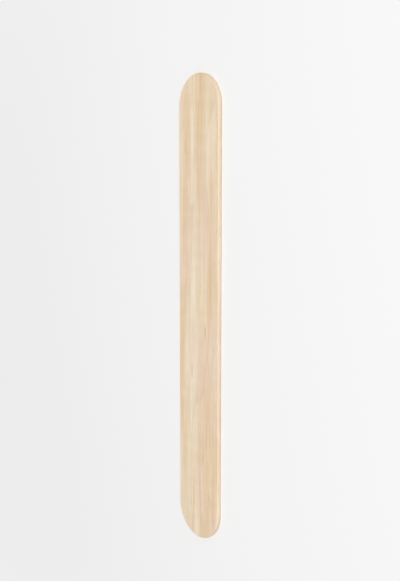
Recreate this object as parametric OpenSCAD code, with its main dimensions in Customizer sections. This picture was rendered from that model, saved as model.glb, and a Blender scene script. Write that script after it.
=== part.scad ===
// Flat wooden stick with fully rounded ends, die-cut from veneer and tumbled smooth.
// It lies on its broad face. The length runs along Y, the width along X and the thickness up Z.
// The origin is the centre of the underside.

/* [Stick] */
// Length from tip to tip
stick_length = 152; // [90:1:210]
// Width across the broad face
stick_width = 20; // [9:0.5:26]
// Thickness of the veneer
stick_thickness = 1.6; // [1.2:0.1:3]
// Radius that tumbling leaves along every edge
edge_radius = 0.35; // [0.1:0.05:0.55]

/* [Hidden] */
$fn = 96;
pale_birch = "#E5D0B4";
// Each end is a full half round, so its radius follows the width
end_radius = stick_width / 2;
// The straight sides run between the centres of the two ends
side_length = stick_length - 2 * end_radius;

// Half of the cross-section, from the centre line out to one long edge
module half_section() {
    square([end_radius - edge_radius, stick_thickness]);
    translate([0, edge_radius])
        square([end_radius, stick_thickness - 2 * edge_radius]);
    translate([end_radius - edge_radius, edge_radius])
        circle(edge_radius);
    translate([end_radius - edge_radius, stick_thickness - edge_radius])
        circle(edge_radius);
}

// The straight middle, with the whole section drawn out between the ends
module straight_middle() {
    translate([0, side_length / 2, 0])
        rotate([90, 0, 0])
            linear_extrude(side_length) {
                half_section();
                mirror([1, 0]) half_section();
            }
}

// One round end, with the half section turned through half a circle
module round_end() {
    translate([0, side_length / 2, 0])
        rotate_extrude(angle = 180)
            half_section();
}

// The whole stick, which is one piece of wood
module stick() {
    color(pale_birch) {
        straight_middle();
        round_end();
        rotate([0, 0, 180]) round_end();
    }
}

stick();
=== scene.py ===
# A flat birch craft stick with round ends, lying on its broad face on a pale table.
import math
from types import SimpleNamespace

import bmesh
import bpy
from mathutils import Euler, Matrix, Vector, noise


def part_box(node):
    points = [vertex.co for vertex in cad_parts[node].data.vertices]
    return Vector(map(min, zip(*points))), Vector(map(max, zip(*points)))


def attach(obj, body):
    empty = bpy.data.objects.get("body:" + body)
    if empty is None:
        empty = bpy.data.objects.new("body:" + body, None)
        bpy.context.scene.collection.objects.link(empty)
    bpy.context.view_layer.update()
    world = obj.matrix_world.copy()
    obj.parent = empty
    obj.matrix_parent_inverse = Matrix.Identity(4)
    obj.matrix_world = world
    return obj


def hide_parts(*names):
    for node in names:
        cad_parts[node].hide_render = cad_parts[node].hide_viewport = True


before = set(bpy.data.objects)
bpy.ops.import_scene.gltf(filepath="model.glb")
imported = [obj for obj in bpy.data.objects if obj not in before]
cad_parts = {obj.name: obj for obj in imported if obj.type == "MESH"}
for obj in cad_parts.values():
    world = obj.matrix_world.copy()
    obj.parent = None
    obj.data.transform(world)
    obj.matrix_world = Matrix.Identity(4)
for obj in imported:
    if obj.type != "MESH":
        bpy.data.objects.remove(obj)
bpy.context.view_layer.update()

# Sizes in millimetres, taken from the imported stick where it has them
MM = 0.001
low_corner, high_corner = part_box("stick")
STICK_LENGTH = (high_corner.y - low_corner.y) / MM
STICK_WIDTH = (high_corner.x - low_corner.x) / MM
STICK_THICKNESS = (high_corner.z - low_corner.z) / MM
END_RADIUS = STICK_WIDTH / 2
END_CENTRE = STICK_LENGTH / 2 - END_RADIUS
EDGE_RADIUS = 0.35

# How finely the surface is laid out, so that the raised grain is real relief
FACE_STEPS = 52
EDGE_STEPS = 10
CORNER_STEPS = 5
SIDE_STEPS = 220
END_STEPS = 90

# Points that lie closer together than this are one point
SPECK = 0.002

# Relief in millimetres. All of it cuts into the blank, never out of it
FIBRE_DEPTH = 0.008
RING_DEPTH = 0.012
SWELL_DEPTH = 0.020
NICK_DEPTH = 0.030
END_NICK_DEPTH = 0.070
SHEAR_LINE_DEPTH = 0.030

# The line where the clean shear meets the torn wood, in shares of the thickness
SHEAR_LINE_HEIGHT = 0.42
SHEAR_LINE_WIDTH = 0.07
SHEAR_LINE_WANDER = 0.05
SHEAR_LINE_BLUR = 0.1

# How strongly the cut edge is nicked below that line, and how much of that is lost above it
NICKS_BELOW = 1.4
NICKS_LOST_ABOVE = 0.8

# Where the cut edge and the worn rim begin and end, in edge radii inside the outline
CUT_EDGE_BAND = (1, 0.25)
WORN_RIM_BAND = (2, 0.5)

# Share of the face's relief that tumbling leaves on the rim
RIM_RELIEF = 0.35

# Powers that gather the end grain at the tips, and a ring's colour and relief at its late side
END_GRAIN_POWER = 1.5
RIDGE_POWER = 3
LATEWOOD_POWER = 4.0

# Relief patterns: a mark's size across, along and through the wood in millimetres, and the place
# where the pattern starts, so that no two patterns run alike
RING_SWEEP = ((15, 95, 15), (40, 0, 0))
RING_FIGURE = ((6.5, 46, 6.5), (0, 300, 0))
RING_TREMOR = ((1.3, 13, 1.3), (0, 0, 50))
RAISED_FIBRES = ((0.42, 8, 0.42), (0, 0, 9))
SURFACE_SWELL = ((5, 38, 5), (0, 0, 20))
TORN_NICKS = ((1.1, 1.3, 0.5), (0, 0, 0))
SPLIT_NICKS = ((0.9, 5.5, 0.35), (0, 0, 0))
SHEAR_WANDER = ((3, 7, 1), (0, 0, 0))

# Growth rings that each pattern adds, and the millimetres from ring to ring
SWEEP_RINGS = 2.1
FIGURE_RINGS = 0.8
TREMOR_RINGS = 0.07
RING_STEP_ACROSS = 11
RING_STEP_THROUGH = 2.6

# Wood colours as they read on a screen, 0 to 255
CREAM = (243, 229, 206)
WARM_SAPWOOD = (231, 204, 167)
PINK_SAPWOOD = (237, 212, 191)
LATEWOOD = (211, 178, 141)
VESSEL_BROWN = (177, 141, 106)
PITH_BROWN = (174, 114, 58)
END_GRAIN_TAN = (212, 187, 155)
FRESH_CUT = (236, 218, 193)
# The lower part of the cut edge: darker for torn fibres, and darker still as painted shade towards the
# table
TORN_EDGE_AND_SHADE = (214, 189, 157)
CHECK_BROWN = (170, 134, 98)

# Shares of red, green and blue that a streak leaves. A dark streak is warmer too
DARK_STREAK = (0.968, 0.942, 0.895, 1.0)
PALE_STREAK = (1.012, 1.034, 1.075, 1.0)

# Colour patterns: width across the grain and length along it in millimetres, detail, roughness
SAPWOOD_BANDS = (3.2, 75, 3.0, 0.55)
PINK_CLOUDS = (9, 30, 2.0, 0.5)
NARROW_STREAKS = (1.1, 48, 2.0, 0.6)
COARSE_STREAKS = (0.5, 22, 2.0, 0.5)
FINE_FIBRES = (0.15, 7, 2.0, 0.6)
KNIFE_CHATTER = (13, 3.4, 1.0, 0.5)
EDGE_FIBRES = (0.2, 6, 3.0, 0.65)
RAGGED_SHEAR = (0.7, 4, 3.0, 0.5)

# The part of a pattern's range, 0 to 1, over which it goes from its one look to its other
BAND_SPAN = (0.30, 0.70)
CLOUD_SPAN = (0.42, 0.70)
STREAK_SPAN = (0.25, 0.75)
CHATTER_SPAN = (0.3, 0.7)
EDGE_FIBRE_SPAN = (0.3, 0.7)
POLISH_SPAN = (0.2, 0.8)
LATEWOOD_STOP = (0.93, 1.0)

# How dark and how pale a fine pattern makes the wood
FIBRE_SHADES = (0.95, 1.04)
CHATTER_SHADES = (0.982, 1.012)
EDGE_SHADES = (0.88, 1.04)

# Short marks, one to a cell: cell width and length in millimetres, the mark's width in cells, and the
# share of cells that have one
VESSEL_LINES = (0.26, 4.2, 0.42, 0.5)
RAY_FLECKS = (0.16, 0.8, 0.5, 0.35)
PITH_FLECKS = (3.4, 26, 0.16, 0.12)
KNIFE_CHECKS = (0.5, 60, 0.13, 0.55)
END_PORES = (0.21, 6, 0.5, 0.6)

# How strongly a colour is laid over the wood, from 0 to 1
PINK_STRENGTH = 0.75
LATEWOOD_STRENGTH = 0.34
VESSEL_STRENGTH = 0.26
RAY_STRENGTH = 0.10
PITH_STRENGTH = 0.42
CHECK_STRENGTH = 0.45
CUT_EDGE_STRENGTH = 0.6
END_GRAIN_STRENGTH = 0.36
PORE_STRENGTH = 0.5

# Heights above the table in millimetres at which the underside and the torn wood, with its painted shade,
# fade out, and how far that last line wanders up and down
UNDERSIDE_ENDS = (0.15, 0.30)
TORN_WOOD_AND_SHADE_ENDS = (0.75, 1.45)
RAGGED_HEIGHT = 0.9

# Sheen and fine bump. Grooves are counted in heights of a streak
FACE_ROUGHNESS = (0.50, 0.66)
EDGE_ROUGHER_BY = 0.12
SHEEN_LEVEL = 0.4
BUMP_HEIGHT = 0.03
VESSEL_GROOVE = 0.8
CHECK_GROOVE = 2.0
PORE_GROOVE = 1.5

# The table, in metres. It is lifted a little near the stick, and fades to the white backdrop further out
WHITE = (1, 1, 1, 1)
TABLE_HALF = 1.6
TABLE_GREY = (234, 234, 234)
TABLE_ROUGHNESS = 0.9
TABLE_LIFT = 0.10
WHITE_BAND = (0.10, 0.45)
BACKDROP_WHITE = 0.98

# The shares of full light that the room and the lamp give, and the lamp's place and size in metres
ROOM_LEVEL = 0.50
LAMP_LEVEL = 0.48
LAMP_PLACE = Vector((1.15, 0.30, 1.20))
LAMP_SIZE = 0.55

# The camera: its turn round the stick and its rise towards the upper end, and its distance in metres
VIEW_TURN = math.radians(51.5)
VIEW_RISE = math.radians(8)
VIEW_DISTANCE = 0.28
NEAREST_SEEN = 0.01
SENSOR_HEIGHT = 36

# The picture's height and the stick's length in it, in pixels, and how far up the stick the camera aims
PICTURE_HEIGHT = 581
STICK_IN_PICTURE = 466
AIM_UP_THE_STICK = 7.4


def clamp(value, low, high):
    return max(low, min(high, value))


def fade(value, start, end):
    """0 before start, 1 after end and smooth between them."""
    part = clamp((value - start) / (end - start), 0.0, 1.0)
    return part * part * (3 - 2 * part)


def relief_noise(place, pattern):
    """Noise from -1 to 1 with marks of the pattern's size."""
    size, start = pattern
    return noise.noise(Vector([(p + s) / m for p, s, m in zip(place, start, size)]))


def ring_count(place):
    """How many growth rings lie between the peeling knife and this point of the veneer."""
    sweep = SWEEP_RINGS * relief_noise(place, RING_SWEEP)
    figure = FIGURE_RINGS * relief_noise(place, RING_FIGURE)
    tremor = TREMOR_RINGS * relief_noise(place, RING_TREMOR)
    x, _, z = place
    return sweep + figure + tremor + x / RING_STEP_ACROSS + z / RING_STEP_THROUGH


def from_outline(x, y):
    """The outward direction and the distance from the middle line, for a point seen from above."""
    spoke = Vector((x, y - clamp(y, -END_CENTRE, END_CENTRE), 0))
    return spoke.normalized(), spoke.length


def towards_outline(reach, band):
    """0 before a band that runs along the outline, 1 past it and smooth across it."""
    start, end = (END_RADIUS - radii * EDGE_RADIUS for radii in band)
    return fade(reach, start, end)


def half_section(bm):
    """The section from the middle of the upper face round one long edge to the middle of the underside."""
    corners = [
        bm.verts.new((x, END_CENTRE, z))
        for x, z in ((0, STICK_THICKNESS), (END_RADIUS, STICK_THICKNESS), (END_RADIUS, 0), (0, 0))
    ]
    bm.faces.new(corners)
    bmesh.ops.bevel(
        bm, geom=corners[1:3], offset=EDGE_RADIUS, offset_type="OFFSET", segments=CORNER_STEPS,
        profile=0.5, affect="VERTICES", material=-1,
    )
    faces = [e for e in bm.edges if e.calc_length() > END_RADIUS / 2]
    edge = [e for e in bm.edges if min(v.co.x for v in e.verts) > END_RADIUS - SPECK]
    spine = [e for e in bm.edges if max(v.co.x for v in e.verts) < SPECK]
    bmesh.ops.delete(bm, geom=bm.faces[:], context="FACES_ONLY")
    bmesh.ops.delete(bm, geom=spine, context="EDGES")
    bmesh.ops.subdivide_edges(bm, edges=faces, cuts=FACE_STEPS - 1)
    bmesh.ops.subdivide_edges(bm, edges=edge, cuts=EDGE_STEPS - 1)
    return bm.verts[:] + bm.edges[:]


def round_an_end(bm, chain, centre_y):
    """Carries the section through half a turn about the end's centre."""
    swept = bmesh.ops.spin(
        bm, geom=chain, cent=(0, centre_y, 0), axis=(0, 0, 1), angle=math.pi, steps=END_STEPS,
        use_merge=False, use_duplicate=False,
    )
    return swept["geom_last"]


def run_a_side(bm, chain, travel):
    """Carries the section straight along one side."""
    swept = bmesh.ops.spin(
        bm, geom=chain, dvec=(0, travel, 0), axis=(0, 0, 1), angle=0, steps=1,
        use_merge=False, use_duplicate=False,
    )
    return swept["geom_last"]


def cut_blank(bm):
    """The smooth die-cut blank: its section goes once round the outline."""
    chain = half_section(bm)
    chain = round_an_end(bm, chain, END_CENTRE)
    chain = run_a_side(bm, chain, -2 * END_CENTRE)
    chain = round_an_end(bm, chain, -END_CENTRE)
    run_a_side(bm, chain, 2 * END_CENTRE)
    bmesh.ops.remove_doubles(bm, verts=bm.verts[:], dist=SPECK)
    sides = [e for e in bm.edges if e.calc_length() > END_CENTRE]
    bmesh.ops.subdivide_edges(bm, edges=sides, cuts=SIDE_STEPS - 1, use_grid_fill=True)
    bmesh.ops.recalc_face_normals(bm, faces=bm.faces[:])


def face_sink(place, reach, rings):
    """How far a point of either face lies below the blank's, with fibres and latewood left standing."""
    fibre = 1 + relief_noise(place, RAISED_FIBRES)
    ridge = (rings % 1.0) ** RIDGE_POWER
    swell = 1 + relief_noise(place, SURFACE_SWELL)
    sink = 0.5 * FIBRE_DEPTH * fibre + RING_DEPTH * (1 - ridge) + 0.5 * SWELL_DEPTH * swell
    flat = 1 - towards_outline(reach, WORN_RIM_BAND)
    return sink * (RIM_RELIEF + (1 - RIM_RELIEF) * flat)


def edge_sink(place, outward):
    """How far a point of the cut edge lies inside the blank's outline."""
    x, y, z = place
    height = z / STICK_THICKNESS
    torn = 1 + relief_noise(place, TORN_NICKS)
    split = 1 + relief_noise(place, SPLIT_NICKS)
    nick = 0.5 * (END_NICK_DEPTH * torn * abs(outward.y) + NICK_DEPTH * split * abs(outward.x))
    above = fade(height, SHEAR_LINE_HEIGHT - SHEAR_LINE_BLUR, SHEAR_LINE_HEIGHT + SHEAR_LINE_BLUR)
    wander = SHEAR_LINE_WANDER * relief_noise((x, y, 0), SHEAR_WANDER)
    off_line = (height - SHEAR_LINE_HEIGHT - wander) / SHEAR_LINE_WIDTH
    return nick * (NICKS_BELOW - NICKS_LOST_ABOVE * above) + SHEAR_LINE_DEPTH * math.exp(-(off_line**2))


def wear_in(bm):
    """Raises the grain, nicks the cut edge, and stores what the finish has to know at each point."""
    ring_layer = bm.verts.layers.float.new("ring_count")
    edge_layer = bm.verts.layers.float.new("cut_edge")
    end_layer = bm.verts.layers.float.new("end_grain")
    for vertex in bm.verts:
        x, y, z = vertex.co
        place = (x, y, z)
        outward, reach = from_outline(x, y)
        rings = ring_count(place)
        on_edge = towards_outline(reach, CUT_EDGE_BAND)
        vertex[ring_layer] = rings
        vertex[edge_layer] = on_edge
        vertex[end_layer] = on_edge * abs(outward.y) ** END_GRAIN_POWER
        side = 1 if z > STICK_THICKNESS / 2 else -1
        vertex.co.z -= side * face_sink(place, reach, rings)
        vertex.co -= outward * on_edge * edge_sink(place, outward)


def lay_down(name, bm, finish):
    """Makes an object at the origin of a finished shape, with its finish."""
    mesh = bpy.data.meshes.new(name)
    bm.to_mesh(mesh)
    bm.free()
    mesh.materials.append(finish)
    piece = bpy.data.objects.new(name, mesh)
    bpy.context.scene.collection.objects.link(piece)
    return piece


def make_stick():
    bm = bmesh.new()
    cut_blank(bm)
    wear_in(bm)
    bmesh.ops.scale(bm, vec=(MM, MM, MM), verts=bm.verts[:])
    stick = lay_down("birch_stick", bm, birch_finish())
    stick.data.shade_smooth()
    return stick


def screen_colour(rgb):
    """A colour as it reads on a screen, as the shader wants it."""
    shares = [c / 255 for c in rgb]
    linear = [s / 12.92 if s <= 0.04045 else ((s + 0.055) / 1.055) ** 2.4 for s in shares]
    return (*linear, 1.0)


def new_finish(name):
    material = bpy.data.materials.new(name)
    material.use_nodes = True
    tree = material.node_tree
    shader = tree.nodes["Principled BSDF"]
    return material, tree, shader


def feed(tree, socket, value):
    """Links an output to a socket, or sets the socket to a number or a colour."""
    if isinstance(value, bpy.types.NodeSocket):
        tree.links.new(value, socket)
    else:
        socket.default_value = value


def node(tree, kind, inputs, **settings):
    """Adds a node. Each input is a number, a colour or the output that feeds it."""
    made = tree.nodes.new(kind)
    for name, value in settings.items():
        setattr(made, name, value)
    for key, value in inputs.items():
        feed(tree, made.inputs[key], value)
    return made


def maths(tree, operation, first, second=0.0):
    return node(tree, "ShaderNodeMath", {0: first, 1: second}, operation=operation).outputs[0]


def spread(tree, value, start, end, low=0.0, high=1.0):
    """Maps start..end smoothly to low..high."""
    inputs = {"Value": value, "From Min": start, "From Max": end, "To Min": low, "To Max": high}
    made = node(tree, "ShaderNodeMapRange", inputs, interpolation_type="SMOOTHSTEP")
    return made.outputs["Result"]


def mix_colours(tree, way, amount, under, over):
    """Blends two colours. The Mix node keeps them on inputs 6 and 7, and its colour on output 2."""
    made = node(tree, "ShaderNodeMix", {}, data_type="RGBA", blend_type=way)
    for number, value in ((0, amount), (6, under), (7, over)):
        feed(tree, made.inputs[number], value)
    return made.outputs[2]


def lay_over(tree, colour, mask, strength, over):
    """Lays a colour over the wood where the mask says."""
    return mix_colours(tree, "MIX", maths(tree, "MULTIPLY", mask, strength), colour, over)


def shade(tree, colour, pattern, span, shades, amount=1.0):
    """Makes the wood darker and paler along a pattern."""
    return mix_colours(tree, "MULTIPLY", amount, colour, spread(tree, pattern, *span, *shades))


def stretched(tree, place, across, along):
    """Object coordinates counted in units of the given lengths, in millimetres."""
    scale = (1 / (across * MM), 1 / (along * MM), 1 / (across * MM))
    return node(tree, "ShaderNodeMapping", {"Vector": place, "Scale": scale}).outputs[0]


def streaks(tree, place, pattern):
    """Soft marks drawn out along the grain."""
    across, along, detail, roughness = pattern
    inputs = {
        "Vector": stretched(tree, place, across, along), "Scale": 1.0, "Detail": detail,
        "Roughness": roughness, "Distortion": 0.0,
    }
    return node(tree, "ShaderNodeTexNoise", inputs).outputs["Fac"]


def dashes(tree, place, marks):
    """Short lines along the grain, one in a share of the cells."""
    across, along, width, share = marks
    inputs = {"Vector": stretched(tree, place, across, along), "Scale": 1.0, "Randomness": 1.0}
    cells = node(tree, "ShaderNodeTexVoronoi", inputs, feature="F1")
    chosen = node(tree, "ShaderNodeSeparateColor", {"Color": cells.outputs["Color"]})
    picked = maths(tree, "LESS_THAN", chosen.outputs[0], share)
    line = spread(tree, cells.outputs["Distance"], 0.0, width, 1.0, 0.0)
    return maths(tree, "MULTIPLY", line, picked)


def stored(tree, name):
    return node(tree, "ShaderNodeAttribute", {}, attribute_name=name).outputs["Fac"]


def below(tree, height, ends):
    """1 below a pair of heights in millimetres, 0 above it and smooth between the two."""
    start, end = (reach * MM for reach in ends)
    return spread(tree, height, start, end, 1.0, 0.0)


def wood_patterns(tree):
    """What more than one layer of the finish reads."""
    place = node(tree, "ShaderNodeTexCoord", {}).outputs["Object"]
    height = node(tree, "ShaderNodeSeparateXYZ", {"Vector": place}).outputs["Z"]
    underside = below(tree, height, UNDERSIDE_ENDS)
    on_end = stored(tree, "end_grain")
    return SimpleNamespace(
        place=place,
        height=height,
        on_edge=stored(tree, "cut_edge"),
        on_end=on_end,
        coarse=streaks(tree, place, COARSE_STREAKS),
        fine=streaks(tree, place, FINE_FIBRES),
        edge_fibres=streaks(tree, place, EDGE_FIBRES),
        vessels=dashes(tree, place, VESSEL_LINES),
        checks=maths(tree, "MULTIPLY", dashes(tree, place, KNIFE_CHECKS), underside),
        pores=maths(tree, "MULTIPLY", dashes(tree, place, END_PORES), on_end),
    )


def sapwood(tree, wood):
    """Broad drift from cream to warm and pink sapwood."""
    warm = spread(tree, streaks(tree, wood.place, SAPWOOD_BANDS), *BAND_SPAN)
    pink = spread(tree, streaks(tree, wood.place, PINK_CLOUDS), *CLOUD_SPAN, 0.0, PINK_STRENGTH)
    colour = mix_colours(tree, "MIX", warm, screen_colour(CREAM), screen_colour(WARM_SAPWOOD))
    return mix_colours(tree, "MIX", pink, colour, screen_colour(PINK_SAPWOOD))


def growth_rings(tree, colour):
    """Each ring deepens slowly to a thin line of latewood and stops there."""
    within = maths(tree, "FRACT", stored(tree, "ring_count"))
    rise = maths(tree, "POWER", within, LATEWOOD_POWER)
    stop = spread(tree, within, *LATEWOOD_STOP, 1.0, 0.0)
    line = maths(tree, "MULTIPLY", rise, stop)
    return lay_over(tree, colour, line, LATEWOOD_STRENGTH, screen_colour(LATEWOOD))


def fibres(tree, wood, colour):
    """Tinted streaks, fibres finer than a hair, and the faint bands that the veneer knife leaves across."""
    narrow = streaks(tree, wood.place, NARROW_STREAKS)
    for strand in (narrow, wood.coarse):
        tint = mix_colours(tree, "MIX", spread(tree, strand, *STREAK_SPAN), DARK_STREAK, PALE_STREAK)
        colour = mix_colours(tree, "MULTIPLY", 1.0, colour, tint)
    colour = shade(tree, colour, wood.fine, STREAK_SPAN, FIBRE_SHADES)
    chatter = streaks(tree, wood.place, KNIFE_CHATTER)
    return shade(tree, colour, chatter, CHATTER_SPAN, CHATTER_SHADES)


def flecks(tree, wood, colour):
    rays = dashes(tree, wood.place, RAY_FLECKS)
    pith = dashes(tree, wood.place, PITH_FLECKS)
    colour = lay_over(tree, colour, wood.vessels, VESSEL_STRENGTH, screen_colour(VESSEL_BROWN))
    colour = lay_over(tree, colour, rays, RAY_STRENGTH, screen_colour(VESSEL_BROWN))
    colour = lay_over(tree, colour, pith, PITH_STRENGTH, screen_colour(PITH_BROWN))
    return lay_over(tree, colour, wood.checks, CHECK_STRENGTH, screen_colour(CHECK_BROWN))


def cut_edge(tree, wood, colour):
    """The die shears the upper part of a long edge pale and smooth, and tears the lower part. The lower
    part is painted darker, partly for the torn fibres and partly as painted shade towards the table.
    """
    long_edge = maths(tree, "MULTIPLY", wood.on_edge, maths(tree, "SUBTRACT", 1.0, wood.on_end))
    ragged = maths(tree, "MULTIPLY", streaks(tree, wood.place, RAGGED_SHEAR), RAGGED_HEIGHT * MM)
    # Below this wandering line the edge is painted darker: torn fibres, and painted shade towards the table
    torn = below(tree, maths(tree, "ADD", wood.height, ragged), TORN_WOOD_AND_SHADE_ENDS)
    cut_wood_and_shade = mix_colours(tree, "MIX", torn, screen_colour(FRESH_CUT), screen_colour(TORN_EDGE_AND_SHADE))
    colour = lay_over(tree, colour, long_edge, CUT_EDGE_STRENGTH, cut_wood_and_shade)
    return shade(tree, colour, wood.edge_fibres, EDGE_FIBRE_SPAN, EDGE_SHADES, wood.on_edge)


def end_grain(tree, wood, colour):
    """Cut across the fibres, the wood drinks in light and shows its pores."""
    colour = lay_over(tree, colour, wood.on_end, END_GRAIN_STRENGTH, screen_colour(END_GRAIN_TAN))
    return lay_over(tree, colour, wood.pores, PORE_STRENGTH, screen_colour(VESSEL_BROWN))


def dull_sheen(tree, wood):
    """The roughness: it varies a little with the fibres, and the cut edge is rougher."""
    face = spread(tree, wood.fine, *POLISH_SPAN, *FACE_ROUGHNESS)
    return maths(tree, "ADD", face, maths(tree, "MULTIPLY", wood.on_edge, EDGE_ROUGHER_BY))


def raised_grain(tree, wood):
    """The bump: streaks and fibres stand up, and vessels, checks and pores are grooves."""
    height = maths(tree, "ADD", wood.coarse, wood.fine)
    height = maths(tree, "SUBTRACT", height, maths(tree, "MULTIPLY", wood.vessels, VESSEL_GROOVE))
    height = maths(tree, "ADD", height, maths(tree, "MULTIPLY", wood.on_edge, wood.edge_fibres))
    height = maths(tree, "SUBTRACT", height, maths(tree, "MULTIPLY", wood.checks, CHECK_GROOVE))
    height = maths(tree, "SUBTRACT", height, maths(tree, "MULTIPLY", wood.pores, PORE_GROOVE))
    inputs = {"Height": height, "Distance": BUMP_HEIGHT * MM, "Strength": 1.0}
    return node(tree, "ShaderNodeBump", inputs).outputs["Normal"]


def birch_finish():
    """Bare tumbled birch: cream and pink streaks, faint rings, short vessel lines and a dull sheen."""
    material, tree, shader = new_finish("pale_birch")
    wood = wood_patterns(tree)
    colour = sapwood(tree, wood)
    colour = growth_rings(tree, colour)
    colour = fibres(tree, wood, colour)
    colour = flecks(tree, wood, colour)
    colour = cut_edge(tree, wood, colour)
    colour = end_grain(tree, wood, colour)
    feed(tree, shader.inputs["Base Color"], colour)
    feed(tree, shader.inputs["Roughness"], dull_sheen(tree, wood))
    feed(tree, shader.inputs["Normal"], raised_grain(tree, wood))
    shader.inputs["Specular IOR Level"].default_value = SHEEN_LEVEL
    return material


def sees_backdrop(tree):
    """1 for rays from the camera and ones that gloss or clear material passes on, 0 for rays that light."""
    ray = node(tree, "ShaderNodeLightPath", {}).outputs
    direct = maths(tree, "MAXIMUM", ray["Is Camera Ray"], ray["Is Glossy Ray"])
    return maths(tree, "MAXIMUM", direct, ray["Is Transmission Ray"])


def table_finish():
    """Pale and dull round the stick, and fading to the white of the backdrop away from it."""
    material, tree, shader = new_finish("pale_table")
    seen = sees_backdrop(tree)
    shader.inputs["Base Color"].default_value = screen_colour(TABLE_GREY)
    shader.inputs["Roughness"].default_value = TABLE_ROUGHNESS
    shader.inputs["Specular IOR Level"].default_value = 0.0
    shader.inputs["Emission Color"].default_value = WHITE
    feed(tree, shader.inputs["Emission Strength"], maths(tree, "MULTIPLY", seen, TABLE_LIFT))

    place = node(tree, "ShaderNodeTexCoord", {}).outputs["Object"]
    reach = node(tree, "ShaderNodeVectorMath", {0: place}, operation="LENGTH").outputs["Value"]
    fading = maths(tree, "MULTIPLY", seen, spread(tree, reach, *WHITE_BAND))
    white = node(tree, "ShaderNodeEmission", {"Color": WHITE, "Strength": BACKDROP_WHITE})
    inputs = {0: fading, 1: shader.outputs[0], 2: white.outputs[0]}
    both = node(tree, "ShaderNodeMixShader", inputs).outputs[0]
    feed(tree, tree.nodes["Material Output"].inputs["Surface"], both)
    return material


def make_table():
    bm = bmesh.new()
    bmesh.ops.create_grid(bm, x_segments=1, y_segments=1, size=TABLE_HALF)
    table = lay_down("table", bm, table_finish())


def light_room():
    """A room that gives even light from all sides, and shows as the white backdrop."""
    world = bpy.data.worlds.new("soft_room")
    world.use_nodes = True
    tree = world.node_tree
    background = tree.nodes["Background"]
    background.inputs["Color"].default_value = WHITE
    level = spread(tree, sees_backdrop(tree), 0.0, 1.0, ROOM_LEVEL, BACKDROP_WHITE)
    feed(tree, background.inputs["Strength"], level)
    bpy.context.scene.world = world


def hang_lamp():
    """A broad soft lamp. Its energy lights a flat surface as a room of the lamp's level would."""
    lamp = bpy.data.lights.new("window", "AREA")
    lamp.shape = "DISK"
    lamp.size = LAMP_SIZE
    distance = LAMP_PLACE.length
    lamp.energy = LAMP_LEVEL * math.pi**2 * distance**2 / (LAMP_PLACE.z / distance)
    window = bpy.data.objects.new("window", lamp)
    window.location = LAMP_PLACE
    window.rotation_euler = LAMP_PLACE.to_track_quat("Z", "Y").to_euler()
    bpy.context.scene.collection.objects.link(window)


def set_camera():
    """Looks down at the stick from one side, so that one long edge shows, as in the photograph.

    The camera is close, and a little nearer to the upper end than to the lower one.
    """
    lens = bpy.data.cameras.new("camera")
    lens.sensor_fit = "VERTICAL"
    lens.sensor_height = SENSOR_HEIGHT
    seen_height = STICK_LENGTH * MM * math.cos(VIEW_RISE) * PICTURE_HEIGHT / STICK_IN_PICTURE
    lens.lens = SENSOR_HEIGHT * VIEW_DISTANCE / seen_height
    lens.clip_start = NEAREST_SEEN
    camera = bpy.data.objects.new("camera", lens)
    turn = Euler((-VIEW_RISE, VIEW_TURN, 0))
    away = turn.to_matrix() @ Vector((0, 0, 1))
    aim = Vector((0, AIM_UP_THE_STICK * MM, STICK_THICKNESS * MM / 2))
    camera.location = aim + away * VIEW_DISTANCE
    camera.rotation_euler = turn
    bpy.context.scene.collection.objects.link(camera)
    bpy.context.scene.camera = camera


stick = make_stick()
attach(stick, "root")
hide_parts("stick")

make_table()
light_room()
hang_lamp()
set_camera()
bpy.context.scene.view_settings.view_transform = "Standard"
